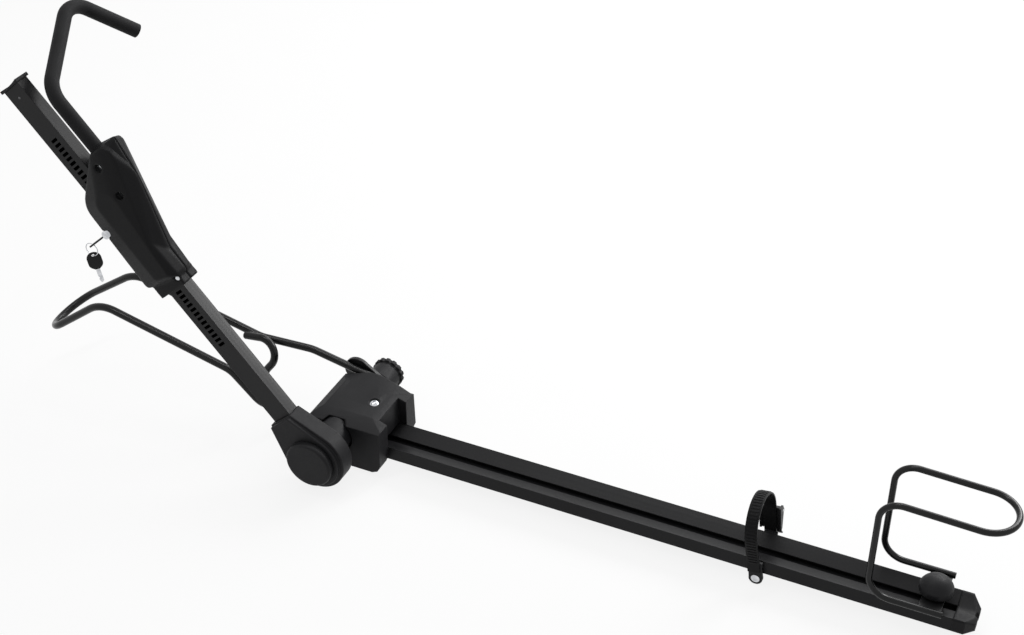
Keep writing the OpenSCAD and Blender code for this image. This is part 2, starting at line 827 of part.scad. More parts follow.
module hook_sleeve() {
    color("#2e2e31") on_slider() difference() {
        bent_rod(sleeve_corners, hook_bends, hook_sleeve_d);
        bent_rod(core_corners, hook_bends, hook_d + 2 * fit_gap);
        translate([hook_off, -arm_off, hook_bolt_s[1]])
            y_rod(-hook_sleeve_d, 2 * hook_sleeve_d, hook_bolt_d + 2 * fit_gap);
    }
}

module hook_bolts() {
    color("#b4b7bb") on_slider() for (s = hook_bolt_s) translate([hook_off, -arm_off, s]) {
        y_rod(-hook_bolt_y - 1, hook_bolt_y + hook_nut_y + 2, hook_bolt_d);
        y_rod(-hook_bolt_y - bolt_head_t, bolt_head_t, bolt_head_d);
        y_rod(hook_nut_y, nut_t, bolt_head_d);
    }
}

module shell_screw() {
    color("#b4b7bb") on_slider() translate([shell_screw_at.x, -arm_off, shell_screw_at.y]) {
        y_rod(-shell_screw_y - 1, 2 * shell_screw_y, shell_screw_d);
        y_rod(-shell_screw_y - screw_head_t, screw_head_t, screw_head_d);
    }
}

module pawl() {
    tip = -arm_off - arm_t / 2 - pawl_lift;
    color("#85888c") on_slider() translate([0, 0, pawl_s]) {
        translate([-pawl_w / 2, -arm_off - pawl_back, -pawl_len / 2]) cube([pawl_w, pawl_t, pawl_len]);
        translate([-tooth_n / 2, tip - pawl_tooth - 1, -tooth_s / 2])
            cube([tooth_n, pawl_tooth + 1, tooth_s]);
    }
}

// a coil of wire along +Y from y = 0
module coil(curls, outer_d, wire, length) {
    sides = 6;
    curl_rings = 8;
    rings = curls * curl_rings;
    pitch = (length - wire) / curls;
    points = [for (i = [0 : rings], k = [0 : sides - 1])
        let (turn = i * 360 / curl_rings, a = k * 360 / sides, reach = (outer_d - wire + wire * cos(a)) / 2)
        [reach * cos(turn), wire / 2 + pitch * i / curl_rings + wire / 2 * sin(a), reach * sin(turn)]];
    skin = [for (i = [0 : rings - 1], k = [0 : sides - 1], half = [0, 1])
        let (a = i * sides + k, b = i * sides + (k + 1) % sides)
        half == 0 ? [b, a, a + sides] : [b, a + sides, b + sides]];
    ends = [[for (k = [0 : sides - 1]) k], [for (k = [0 : sides - 1]) (rings + 1) * sides - 1 - k]];
    echo("gap between the curls", pitch - wire);
    polyhedron(points, concat(skin, ends));
}

module pawl_spring() {
    color("#9a9da1") on_slider() translate([0, -arm_off - pawl_back - spring_len, pawl_s])
        coil(spring_curls, spring_d, spring_wire, spring_len);
}

module lock_barrel() {
    color("#c4c7cb") on_lock() difference() {
        translate([0, 0, -lock_len]) cylinder(d = lock_d, h = lock_len);
        translate([0, 0, -lock_len + lock_floor]) cylinder(d = plug_d + 2 * run_gap, h = lock_len);
    }
}

module lock_plug() {
    color("#aeb1b5") on_lock() difference() {
        translate([0, 0, -lock_len + lock_floor + slide_gap])
            cylinder(d = plug_d, h = lock_len - lock_floor);
        translate([-blade_w / 2 - fit_gap, -blade_t / 2 - fit_gap, -blade_in - fit_gap])
            cube([blade_w + 2 * fit_gap, blade_t + 2 * fit_gap, 2 * blade_in]);
    }
}

module key_blade() {
    color("#c8cacd") on_lock() translate([-blade_w / 2, -blade_t / 2, -blade_in])
        cube([blade_w, blade_t, blade_in + bow_gap - fit_gap]);
}

// a key's bow, with its hole at the origin and its stem below
module key_bow() {
    stem_w = blade_w + 4;
    difference() {
        union() {
            translate([0, bow_top - bow_w / 2]) circle(d = bow_w);
            translate([0, bow_top - bow_len + bow_w / 2]) circle(d = bow_w);
            translate([-bow_w / 2, bow_top - bow_len + bow_w / 2]) square([bow_w, bow_len - bow_w]);
            translate([-stem_w / 2, bow_top - bow_len]) square([stem_w, bow_w / 2]);
        }
        circle(d = bow_hole);
    }
}

module lock_key() {
    color("#121213") on_lock() y_slab(-key_t / 2, key_t) translate([0, bow_hole_z]) key_bow();
}

module key_ring() {
    color("#d4d6d9") translate(ring_mid) rotate([90, 0, 0])
        rotate_extrude() translate([ring_d / 2, 0]) circle(d = ring_wire);
}

// z up and x out of the spare key's flat, where the ring carries it
module on_spare() {
    translate(ring_low) rotate([0, 0, spare_turn]) rotate([spare_lean, 0, 0]) children();
}

module spare_key() {
    color("#121213") on_spare() x_slab(-key_t / 2, key_t) translate([0, -spare_hang]) key_bow();
}

module spare_blade() {
    half = blade_w / 2;
    root = -spare_hang + bow_top - bow_len - fit_gap;
    color("#c8cacd") on_spare() x_slab(-blade_t / 2, blade_t) translate([0, root]) polygon([
        [-half, 0], [half, 0], [half, -blade_len + half], [0, -blade_len],
        [-half / 2, -blade_len + half / 2],
        [-half, -blade_len + 2 * half], [-half / 2, -blade_len + 3 * half], [-half, -blade_len + 4 * half]
    ]);
}

// Front hoop

module front_hoop() {
    color("#232325") at_axle() {
        bent_rod(hoop_path, hoop_bends, hoop_d);
        translate([weld_at.x, 0, weld_at.y]) y_rod(weld_y, hoop_half - weld_y, weld_d);
    }
}

module hoop_ear() {
    lobe = [-31, 21];
    lobe_r = 23;
    color("#161617") at_axle() difference() {
        y_slab(ear_y, ear_t) {
            circle(r = hoop_hub_r);
            translate(lobe) circle(r = lobe_r);
            rotate(atan2(lobe.y, lobe.x)) translate([0, -lobe_r + 0.5])
                square([norm(lobe), 2 * lobe_r - 1]);
        }
        y_rod(ear_y - 1, ear_t + 2, 2 * (hub_neck_r + fit_gap));
    }
}

module hoop_hub() {
    color("#1d1d1f") at_axle() difference() {
        union() {
            y_rod(hub_near_y, ear_y + ear_t - hub_near_y + 1, 2 * hub_neck_r);
            y_rod(ear_y + ear_t + fit_gap, hub_far_y - ear_y - ear_t - fit_gap, 2 * hoop_hub_r);
        }
        y_rod(hub_near_y - 1, hub_far_y, axle_d + 2 * run_gap);
    }
}

module tension_knob() {
    color("#151516") at_axle() translate([0, hub_far_y + slide_gap, 0]) difference() {
        union() {
            y_rod(3, knob_t - 3, 2 * knob_r);
            y_rod(0, 4, 2 * knob_r - 6);
        }
        for (i = [0 : knob_flutes - 1]) rotate([0, i * 360 / knob_flutes, 0])
            translate([knob_r + 1.6, 0, 0]) y_rod(2, knob_t, 7);
        y_rod(-1, knob_t - 5, axle_d + 2 * run_gap);
    }
}

// Strap

module at_rivet() {
    translate([strap_x + rivet_at.x, 0, rivet_at.y]) children();
}

// x across the strap and z up it, tilted about the rivet
module on_strap() {
    translate([strap_x + strap_root, 0, rivet_at.y]) rotate([0, -strap_tilt, 0])
        translate([0, 0, -rivet_at.y]) children();
}

module strap_bracket() {
    cheek_top = rail_h - 1;
    shoulder = rail_h / 2;
    middle = strap_root - (shoulder - rivet_at.y) * tan(strap_tilt);
    color("#171718") difference() {
        union() {
            for (side = [0, 1]) mirror([0, side, 0]) translate([strap_x, 0, 0]) y_slab(cheek_y, cheek_t) {
                translate(rivet_at) circle(r = boss_r);
                polygon([
                    [middle - strap_w / 2, cheek_top], [middle - strap_w / 2, shoulder],
                    [rivet_at.x - boss_r + 0.2, rivet_at.y], [rivet_at.x + boss_r - 0.2, rivet_at.y],
                    [middle + strap_w / 2 + 2, shoulder], [middle + strap_w / 2 + 2, cheek_top]
                ]);
            }
            at_rivet() y_rod(-cheek_y - 1, 2 * cheek_y + 2, cross_bar_d);
        }
        at_rivet() y_rod(-strap_y - 1, 2 * strap_y + 2, rivet_d + 2 * fit_gap);
    }
}

// the loop's outline, with the given thickness added to its inner line
module strap_line(added) {
    r = strap_arc_r - strap_t + added;
    corner = [strap_y + added, rail_h - strap_arc_z];
    side = touch(r, corner, 1);
    low = strap_low - strap_arc_z;
    translate([0, strap_arc_z]) {
        circle(r = r);
        polygon([
            [0, side.y], [side.x, side.y], corner, [corner.x, low],
            [-corner.x, low], [-corner.x, corner.y], [-side.x, side.y]
        ]);
    }
}

// one rib on the outer face of the near side, at z = 0
module strap_rib() {
    rib_len = strap_w * 0.72;
    root = 0.3;
    translate([-rib_len / 2, -strap_arc_r - rib_t, -rib_w / 2]) cube([rib_len, rib_t + root, rib_w]);
}

module wheel_strap() {
    rib_rows = 7;
    arc_step = rib_pitch / strap_arc_r * 180 / PI;
    last_rib = 140;
    color("#1e1e20") on_strap() {
        x_slab(-strap_w / 2, strap_w) difference() {
            strap_line(strap_t);
            strap_line(fit_gap);
        }
        translate([0, 0, strap_arc_z]) {
            for (i = [1 : rib_rows]) rotate([strap_lean, 0, 0])
                translate([0, 0, -i * rib_pitch]) strap_rib();
            for (a = [-strap_lean : arc_step : last_rib]) rotate([-a, 0, 0]) strap_rib();
        }
    }
}

module strap_rivet() {
    color("#d0d3d6") at_rivet() {
        y_rod(-strap_y - 1, 2 * strap_y + 2, rivet_d);
        for (side = [0, 1]) mirror([0, side, 0])
            translate([0, strap_y, 0]) rotate([-90, 0, 0]) dome_head(rivet_head_d, rivet_head_t);
    }
}

// y out of the strap's far side, z up along it from the end of its straight run
module on_buckle() {
    on_strap() translate([0, 0, strap_arc_z]) rotate([-strap_lean, 0, 0]) children();
}

module at_lever() {
    on_buckle() translate([0, lever_pin_at.x, lever_pin_at.y]) children();
}

// a cylinder along X, centred on x = 0
module x_rod(length, d) {
    translate([-length / 2, 0, 0]) rotate([0, 90, 0]) cylinder(d = d, h = length);
}

module buckle_body() {
    wrap_y = strap_arc_r - strap_t;
    top = buckle_low + buckle_h;
    color("#131314") on_buckle() difference() {
        union() {
            translate([-buckle_w / 2, buckle_y, buckle_low]) cube([buckle_w, buckle_t, buckle_h]);
            for (x = [-buckle_w / 2, buckle_w / 2 - buckle_ear]) x_slab(x, buckle_ear) {
                polygon([
                    [wrap_y, buckle_low], [buckle_y + buckle_t, buckle_low],
                    [lever_pin_at.x + lever_pin_d - 1, lever_pin_at.y], [lever_pin_at.x, top], [wrap_y, top]
                ]);
                translate(lever_pin_at) circle(r = lever_pin_d);
            }
        }
        translate([0, lever_pin_at.x, lever_pin_at.y]) x_rod(2 * buckle_w, lever_pin_d + 2 * fit_gap);
    }
}

module buckle_lever() {
    root_r = 5;
    outer = root_r - 0.3;
    inner = 1;
    lip = 5;
    width = buckle_w - 2 * buckle_ear - 2 * lever_play;
    color("#2a2a2c") at_lever() difference() {
        union() {
            x_rod(width, 2 * root_r);
            x_slab(-width / 2, width) polygon([
                [inner, 0], [inner, -lever_len], [inner + lip, -lever_len - lip],
                [outer + lip, -lever_len - lip], [outer, -lever_len], [outer, 0]
            ]);
        }
        x_rod(2 * width, lever_pin_d + 2 * run_gap);
    }
}

module buckle_pin() {
    color("#b9bcc0") at_lever() x_rod(buckle_w, lever_pin_d);
}

// Rear loop

module rear_loop() {
    color("#232325") bent_rod(loop_path, loop_bends, loop_d);
}

module loop_clamp() {
    tuck = 2;
    half = loop_w / 2 - tuck;
    color("#1a1a1b") difference() {
        x_slab(loop_x - clamp_len / 2, clamp_len) difference() {
            union() {
                translate([-half, clamp_low]) square([2 * half, clamp_t]);
                for (y = [-rail_w / 2, rail_w / 2 - clamp_foot_w])
                    translate([y, rail_h + slide_gap]) square([clamp_foot_w, clamp_low - rail_h]);
            }
            for (y = [-loop_w / 2, loop_w / 2]) translate([y, wire_z]) circle(d = loop_d + 2 * fit_gap);
        }
        translate([loop_x, 0, clamp_low - 1]) cylinder(d = clamp_bolt_d + 2 * fit_gap, h = clamp_t + 2);
    }
}

module clamp_bolt() {
    head_len = 16;
    head_w = channel_w - 2;
    color("#a9adb2") translate([loop_x, 0, clamp_head_z]) {
        translate([-head_len / 2, -head_w / 2, 0]) cube([head_len, head_w, clamp_head_t]);
        translate([0, 0, 1]) cylinder(d = clamp_bolt_d, h = rear_knob_low + insert_h - clamp_head_z - 2);
    }
}

module rear_knob() {
    skirt_z = rear_neck_h + rear_skirt_h;
    color("#151516") translate([loop_x, 0, rear_knob_low]) difference() {
        union() {
            cylinder(r = rear_neck_r, h = skirt_z);
            translate([0, 0, rear_neck_h]) cylinder(r = rear_knob_r, h = rear_skirt_h);
            translate([0, 0, skirt_z]) dome_head(2 * rear_knob_r, rear_dome_h);
        }
        translate([0, 0, -1]) cylinder(d = insert_d + 2 * fit_gap, h = insert_h + 1 + fit_gap);
    }
}

module knob_insert() {
    color("#b08d46") translate([loop_x, 0, rear_knob_low]) difference() {
        cylinder(d = insert_d, h = insert_h);
        translate([0, 0, -1]) cylinder(d = clamp_bolt_d + 2 * run_gap, h = insert_h + 2);
    }
}

rail_near_side();
rail_far_side();
rail_web();
rail_end_cap();
base_housing();
base_bolt();
base_nut();
pivot_axle();
axle_bushes();
arm_hub();
arm_foot();
foot_cap();
arm_tube();
arm_end_cap();
end_cap_pin();
slider_near_shell();
slider_far_shell();
hook_rod();
hook_sleeve();
hook_bolts();
shell_screw();
pawl();
pawl_spring();
lock_barrel();
lock_plug();
key_blade();
lock_key();
key_ring();
spare_key();
spare_blade();
front_hoop();
hoop_ear();
hoop_hub();
tension_knob();
strap_bracket();
wheel_strap();
strap_rivet();
buckle_body();
buckle_lever();
buckle_pin();
rear_loop();
loop_clamp();
clamp_bolt();
rear_knob();
knob_insert();
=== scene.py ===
"""Looks of the roof mounted bike carrier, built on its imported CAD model."""
import json
import math

import bmesh
import bpy
from mathutils import Matrix, Vector


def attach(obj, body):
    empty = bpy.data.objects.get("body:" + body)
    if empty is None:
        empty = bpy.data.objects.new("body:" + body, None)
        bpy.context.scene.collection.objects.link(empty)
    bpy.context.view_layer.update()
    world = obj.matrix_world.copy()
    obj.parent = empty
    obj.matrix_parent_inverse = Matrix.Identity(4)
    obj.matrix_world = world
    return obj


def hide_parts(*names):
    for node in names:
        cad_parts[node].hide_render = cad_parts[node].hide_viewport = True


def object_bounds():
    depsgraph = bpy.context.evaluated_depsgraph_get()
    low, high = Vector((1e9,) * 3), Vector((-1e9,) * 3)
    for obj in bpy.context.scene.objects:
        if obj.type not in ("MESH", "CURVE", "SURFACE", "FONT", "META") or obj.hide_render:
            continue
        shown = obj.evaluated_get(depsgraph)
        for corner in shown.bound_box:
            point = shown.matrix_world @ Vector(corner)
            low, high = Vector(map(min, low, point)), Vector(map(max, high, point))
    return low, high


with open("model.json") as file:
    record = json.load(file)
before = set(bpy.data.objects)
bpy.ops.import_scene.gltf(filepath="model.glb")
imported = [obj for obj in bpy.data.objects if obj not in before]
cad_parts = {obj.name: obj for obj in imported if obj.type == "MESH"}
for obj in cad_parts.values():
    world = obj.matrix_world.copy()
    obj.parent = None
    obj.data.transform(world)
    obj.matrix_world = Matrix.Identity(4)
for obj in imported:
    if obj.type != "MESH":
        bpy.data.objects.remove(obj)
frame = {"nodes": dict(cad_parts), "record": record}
cad_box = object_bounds()
nodes = frame["nodes"]

# Image width of the photograph, and the camera that was fitted to it
IMAGE_W = 1024
FOCAL_PX = 1692.47
SENSOR_MM = 36.0
EYE = Vector((0.620, -1.7255, 1.6395))
VIEW_RIGHT = Vector((0.90766, 0.41970, 0.0))
VIEW_UP = Vector((-0.24215, 0.52370, 0.81675))
CLIP_NEAR, CLIP_FAR = 0.05, 200.0

MM_PER_M = 1000.0
# Angle of the arm above the horizontal
ARM_TILT = math.radians(48.8)
# The axle, the arm's distance beside it and the clamp's place along the arm, in mm
AXLE = (-443.0, 0.0, 40.0)
ARM_OFF = 105.0
CLAMP_LOW = 318.0

# The part of a noise's range that is stretched over numbers, and over two tones
NUMBER_SPAN = (0.3, 0.7)
TONE_SPAN = (0.35, 0.65)
# Samples of the edges that the shaders round
BEVEL_SAMPLES = 8


def node_tree(name):
    """A new material with its Principled shader, and a function that adds nodes to it."""
    material = bpy.data.materials.new(name)
    material.use_nodes = True
    tree = material.node_tree
    shader = tree.nodes["Principled BSDF"]

    def add(kind, **inputs):
        made = tree.nodes.new(kind)
        for key, value in inputs.items():
            made.inputs[key.replace("_", " ")].default_value = value
        return made

    return material, tree, shader, add


def noise(tree, add, scale, detail=3.0, turn=None, size=None):
    """Noise in the object's own coordinates, with blotches of a size in metres on turned axes if asked."""
    place = add("ShaderNodeTexCoord").outputs["Object"]
    if size is not None:
        mapping = add("ShaderNodeMapping")
        mapping.vector_type = "TEXTURE"
        mapping.inputs["Rotation"].default_value = turn or (0.0, 0.0, 0.0)
        mapping.inputs["Scale"].default_value = size
        tree.links.new(place, mapping.inputs["Vector"])
        place = mapping.outputs["Vector"]
    made = add("ShaderNodeTexNoise", Scale=scale, Detail=detail)
    tree.links.new(place, made.inputs["Vector"])
    return made.outputs["Fac"]


def spread(tree, add, fac, low, high):
    """Maps a noise onto a range of numbers."""
    made = add("ShaderNodeMapRange")
    made.inputs["From Min"].default_value = NUMBER_SPAN[0]
    made.inputs["From Max"].default_value = NUMBER_SPAN[1]
    made.inputs["To Min"].default_value = low
    made.inputs["To Max"].default_value = high
    tree.links.new(fac, made.inputs["Value"])
    return made.outputs["Result"]


def tint(tree, add, fac, dark, light):
    """A colour that wanders between two tones with a noise."""
    ramp = add("ShaderNodeValToRGB")
    for element, position, tone in zip(ramp.color_ramp.elements, TONE_SPAN, (dark, light)):
        element.position = position
        element.color = (*tone, 1.0)
    tree.links.new(fac, ramp.inputs["Fac"])
    return ramp.outputs["Color"]


def relief(tree, add, shader, edge, layers):
    """Rounds the edges by a radius in metres and stacks bumps on that, each (height, strength, depth)."""
    rounding = add("ShaderNodeBevel", Radius=edge)
    rounding.samples = BEVEL_SAMPLES
    normal = rounding.outputs["Normal"]
    for height, strength, depth in layers:
        bump = add("ShaderNodeBump", Strength=strength, Distance=depth)
        tree.links.new(height, bump.inputs["Height"])
        tree.links.new(normal, bump.inputs["Normal"])
        normal = bump.outputs["Normal"]
    tree.links.new(normal, shader.inputs["Normal"])


def moulding(name, dark, light, rough, gloss, grain=0.25, edge=0.0015):
    """Black plastic with the fine sparked grain of its mould and faint flow marks."""
    material, tree, shader, add = node_tree(name)
    shader.inputs["Specular IOR Level"].default_value = gloss
    wander = 0.06
    cloud = noise(tree, add, scale=14.0)
    fine = noise(tree, add, scale=1500.0, detail=2.0)
    coarse = noise(tree, add, scale=420.0, detail=2.0)
    tree.links.new(tint(tree, add, cloud, dark, light), shader.inputs["Base Color"])
    tree.links.new(spread(tree, add, coarse, rough - wander, rough + wander), shader.inputs["Roughness"])
    relief(tree, add, shader, edge, [(fine, grain, 0.0004), (coarse, grain * 0.5, 0.0005)])
    return material


def coating(name, dark, light, rough, gloss):
    """Powder coat: satin, with the orange peel of the baked paint."""
    material, tree, shader, add = node_tree(name)
    shader.inputs["Specular IOR Level"].default_value = gloss
    shader.inputs["Coat Weight"].default_value = 0.06
    shader.inputs["Coat Roughness"].default_value = 0.22
    wander = 0.05
    peel = noise(tree, add, scale=380.0, detail=2.0)
    cloud = noise(tree, add, scale=22.0)
    tree.links.new(tint(tree, add, cloud, dark, light), shader.inputs["Base Color"])
    tree.links.new(spread(tree, add, peel, rough - wander, rough + wander), shader.inputs["Roughness"])
    relief(tree, add, shader, 0.0006, [(peel, 0.05, 0.0002)])
    return material


def extrusion(name, dark, light, rough, gloss, turn):
    """Black anodised aluminium with the die lines of the extrusion running along it."""
    material, tree, shader, add = node_tree(name)
    shader.inputs["Specular IOR Level"].default_value = gloss
    wander = 0.05
    lines = noise(tree, add, scale=1.0, detail=4.0, turn=turn, size=(0.25, 0.0011, 0.0011))
    broad = noise(tree, add, scale=1.0, detail=2.0, turn=turn, size=(0.70, 0.0080, 0.0080))
    cloud = noise(tree, add, scale=9.0)
    tree.links.new(tint(tree, add, cloud, dark, light), shader.inputs["Base Color"])
    tree.links.new(spread(tree, add, broad, rough - wander, rough + wander), shader.inputs["Roughness"])
    relief(tree, add, shader, 0.0008, [(lines, 0.12, 0.0003)])
    return material


def soft_cover(name, dark, light):
    """Matt soft cover with a pebbled skin."""
    material, tree, shader, add = node_tree(name)
    shader.inputs["Specular IOR Level"].default_value = 0.15
    shader.inputs["Sheen Weight"].default_value = 0.012
    smoothest, roughest = 0.62, 0.80
    pebble = noise(tree, add, scale=900.0, detail=3.0)
    cloud = noise(tree, add, scale=30.0)
    tree.links.new(tint(tree, add, cloud, dark, light), shader.inputs["Base Color"])
    tree.links.new(spread(tree, add, pebble, smoothest, roughest), shader.inputs["Roughness"])
    relief(tree, add, shader, 0.002, [(pebble, 0.35, 0.0005)])
    return material


def plated(name, dark, light, rough):
    """Plated or plain metal with faint smudges and handling scratches."""
    material, tree, shader, add = node_tree(name)
    shader.inputs["Metallic"].default_value = 1.0
    smoother, rougher = 0.06, 0.08
    smudge = noise(tree, add, scale=160.0)
    scratch = noise(tree, add, scale=1.0, detail=3.0, turn=(0.4, 0.3, 0.7), size=(0.0033, 0.00025, 0.00025))
    tree.links.new(tint(tree, add, smudge, dark, light), shader.inputs["Base Color"])
    tree.links.new(spread(tree, add, smudge, rough - smoother, rough + rougher), shader.inputs["Roughness"])
    relief(tree, add, shader, 0.0005, [(scratch, 0.06, 0.0002)])
    return material


grained = moulding("grained_moulding", (0.0085, 0.0085, 0.0095), (0.013, 0.013, 0.0142),
                   rough=0.52, gloss=0.16, edge=0.0025)
smooth = moulding("smooth_moulding", (0.0075, 0.0075, 0.008), (0.011, 0.011, 0.012),
                  rough=0.40, gloss=0.18, grain=0.10)
clamp_skin = moulding("clamp_moulding", (0.006, 0.006, 0.0066), (0.0085, 0.0085, 0.0092),
                      rough=0.46, gloss=0.11, grain=0.10, edge=0.005)
band = moulding("strap_moulding", (0.005, 0.005, 0.0054), (0.0072, 0.0072, 0.0077),
                rough=0.45, gloss=0.10, grain=0.15, edge=0.0006)
rod_coat = coating("rod_coating", (0.0045, 0.0045, 0.0048), (0.007, 0.007, 0.0075), rough=0.24, gloss=0.20)
ear_coat = coating("ear_coating", (0.008, 0.008, 0.0085), (0.011, 0.011, 0.012), rough=0.38, gloss=0.20)
rail_skin = extrusion("rail_anodised", (0.0065, 0.0065, 0.0072), (0.0098, 0.0098, 0.0107),
                      rough=0.38, gloss=0.13, turn=None)
arm_skin = extrusion("arm_anodised", (0.006, 0.006, 0.0066), (0.009, 0.009, 0.0098),
                     rough=0.36, gloss=0.18, turn=(0.0, ARM_TILT, 0.0))
sleeve = soft_cover("hook_cover", (0.0085, 0.0085, 0.0092), (0.0125, 0.0125, 0.0133))
bright = plated("bright_plate", (0.46, 0.47, 0.49), (0.66, 0.67, 0.69), rough=0.14)
steel = plated("plain_steel", (0.45, 0.46, 0.48), (0.60, 0.61, 0.63), rough=0.34)
dark_metal = plated("blackened_steel", (0.05, 0.05, 0.052), (0.12, 0.12, 0.125), rough=0.34)
brass = plated("bearing_brass", (0.58, 0.44, 0.19), (0.72, 0.57, 0.28), rough=0.30)

LOOKS = {
    grained: ["base_housing", "arm_hub", "arm_foot", "foot_cap", "rear_knob", "hoop_hub",
              "tension_knob", "strap_bracket", "arm_end_cap"],
    clamp_skin: ["slider_near_shell", "slider_far_shell", "rail_end_cap"],
    smooth: ["buckle_body", "buckle_lever", "lock_key", "spare_key"],
    band: ["wheel_strap"],
    rod_coat: ["front_hoop", "rear_loop"],
    ear_coat: ["hoop_ear", "loop_clamp"],
    rail_skin: ["rail_near_side", "rail_far_side", "rail_web"],
    arm_skin: ["arm_tube"],
    sleeve: ["hook_sleeve"],
    bright: ["base_bolt", "hook_bolts", "shell_screw", "lock_barrel", "key_blade", "spare_blade",
             "key_ring", "strap_rivet"],
    dark_metal: ["lock_plug", "end_cap_pin"],
    steel: ["pivot_axle", "base_nut", "hook_rod", "pawl", "pawl_spring", "clamp_bolt", "buckle_pin"],
    brass: ["axle_bushes", "knob_insert"],
}
LOOK_OF = {member: material for material, members in LOOKS.items() for member in members}
for member, material in LOOK_OF.items():
    nodes[member].data.materials.clear()
    nodes[member].data.materials.append(material)

behaviour = frame["record"]["behaviour"]
BODY_OF = {member: body for body, members in behaviour["bodies"].items() for member in members}

# Points closer than this, in metres, are one point
MERGE_DIST = 2e-6
# Facets flatter than the first angle are merged, edges sharper than the second are rounded, and the
# shading breaks at edges sharper than the third
FLAT_ANGLE = math.radians(0.4)
SHARP_ANGLE = math.radians(24.0)
CREASE_ANGLE = math.radians(42.0)
EDGE_STEPS, EDGE_PROFILE = 3, 0.5
SMOOTH_FACTOR = 0.5


def whole_mesh(name):
    """A bmesh of a CAD node with its doubled points merged."""
    work = bmesh.new()
    work.from_mesh(nodes[name].data)
    bmesh.ops.remove_doubles(work, verts=work.verts, dist=MERGE_DIST)
    return work


def shown(name, work, beside):
    """Makes a piece from a bmesh that rides with a CAD node and shares its finish."""
    mesh = bpy.data.meshes.new(name)
    work.to_mesh(mesh)
    work.free()
    for face in mesh.polygons:
        face.use_smooth = True
    mesh.materials.append(LOOK_OF[beside])
    piece = bpy.data.objects.new(name, mesh)
    bpy.context.scene.collection.objects.link(piece)
    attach(piece, BODY_OF[beside])
    return piece


def stand_in(name, work):
    """Shows a bmesh in place of a CAD node, on the same body and with the same finish."""
    piece = shown(name + "_form", work, name)
    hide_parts(name)
    return piece


def soften(piece, grain, passes):
    """Redraws a piece at a fine grain and smooths it, for a moulding without hard creases."""
    remesh = piece.modifiers.new("fine_grain", "REMESH")
    remesh.mode = "VOXEL"
    remesh.voxel_size = grain
    remesh.use_smooth_shade = True
    smoother = piece.modifiers.new("flow", "SMOOTH")
    smoother.factor = SMOOTH_FACTOR
    smoother.iterations = passes


def rounded(name, radius):
    """Shows a CAD node with its sharp edges rounded by a radius."""
    work = whole_mesh(name)
    bmesh.ops.dissolve_limit(work, angle_limit=FLAT_ANGLE, verts=work.verts, edges=work.edges)
    sharp = [e for e in work.edges if len(e.link_faces) == 2 and e.calc_face_angle(0.0) > SHARP_ANGLE]
    bmesh.ops.bevel(work, geom=sharp, offset=radius, offset_type="OFFSET", segments=EDGE_STEPS,
                    profile=EDGE_PROFILE, affect="EDGES", clamp_overlap=True)
    piece = stand_in(name, work)
    piece.data.set_sharp_from_angle(angle=CREASE_ANGLE)
    piece.modifiers.new("even_normals", "WEIGHTED_NORMAL").keep_sharp = True


def turns(count):
    """The angles of a full turn in equal steps."""
    return [2.0 * math.pi * step / count for step in range(count)]


# Radius of each node's edges, in metres
EDGES = {"base_housing": 0.0028, "arm_foot": 0.0020, "foot_cap": 0.0010, "arm_hub": 0.0010,
         "rail_end_cap": 0.0012, "arm_end_cap": 0.0007, "strap_bracket": 0.0012, "buckle_body": 0.0006,
         "buckle_lever": 0.0010, "hoop_ear": 0.0008, "hoop_hub": 0.0010, "arm_tube": 0.0012,
         "rail_near_side": 0.0005, "rail_far_side": 0.0005, "lock_key": 0.0007, "loop_clamp": 0.0008}
SHELL_GRAIN, SHELL_PASSES = 0.0010, 5
for member, radius in EDGES.items():
    rounded(member, radius)
for member in ("slider_near_shell", "slider_far_shell"):
    soften(stand_in(member, whole_mesh(member)), SHELL_GRAIN, SHELL_PASSES)


def on_arm(across, along, depth):
    """A point on the arm in mm: across it, along it from the axle, and towards the viewer from its middle."""
    tilt_sin, tilt_cos = math.sin(ARM_TILT), math.cos(ARM_TILT)
    return Vector((AXLE[0] + across * tilt_sin - along * tilt_cos, AXLE[1] - ARM_OFF - depth,
                   AXLE[2] + across * tilt_cos + along * tilt_sin)) / MM_PER_M


# The far half's wall at the top of the clamp, which reaches over the near half's shoulder:
# rounds across the arm, along the clamp, radius and depth from the seam, in mm
LIP_ROUNDS = [(85.3, 217.6, 3.6, 0.0), (64.0, 206.0, 17.4, 0.0), (60.0, 170.0, 19.2, 0.0),
              (64.0, 204.0, 15.6, 11.0), (58.0, 168.0, 18.6, 4.0)]
ROUND_STEPS = 48
LIP_GRAIN, LIP_PASSES = 0.0008, 3
work = bmesh.new()
for across, along, radius, depth in LIP_ROUNDS:
    for turn in turns(ROUND_STEPS):
        work.verts.new(on_arm(across + radius * math.cos(turn),
                              CLAMP_LOW + along + radius * math.sin(turn), depth))
hull = bmesh.ops.convex_hull(work, input=work.verts)
inside = list({v for v in hull["geom_interior"] if isinstance(v, bmesh.types.BMVert)})
bmesh.ops.delete(work, geom=inside, context="VERTS")
soften(shown("clamp_lip", work, "slider_far_shell"), LIP_GRAIN, LIP_PASSES)

# The spare key's bow in mm: an oval plate with rounded edges, and a hole for the ring at the joint that
# it swings on
BOW_HALF_W, BOW_TOP, BOW_LOW, BOW_STEM_HALF = 10.5, 5.0, -24.0, 4.5
BOW_HOLE_R, BOW_HALF_T, BOW_EDGE = 2.3, 1.2, 0.6
BOW_STEPS, BOW_EDGE_STEPS = 64, 3
# How far the hanging key is turned about the vertical, and how far it leans
SPARE_TURN, SPARE_LEAN = math.radians(-50.0), math.radians(9.0)


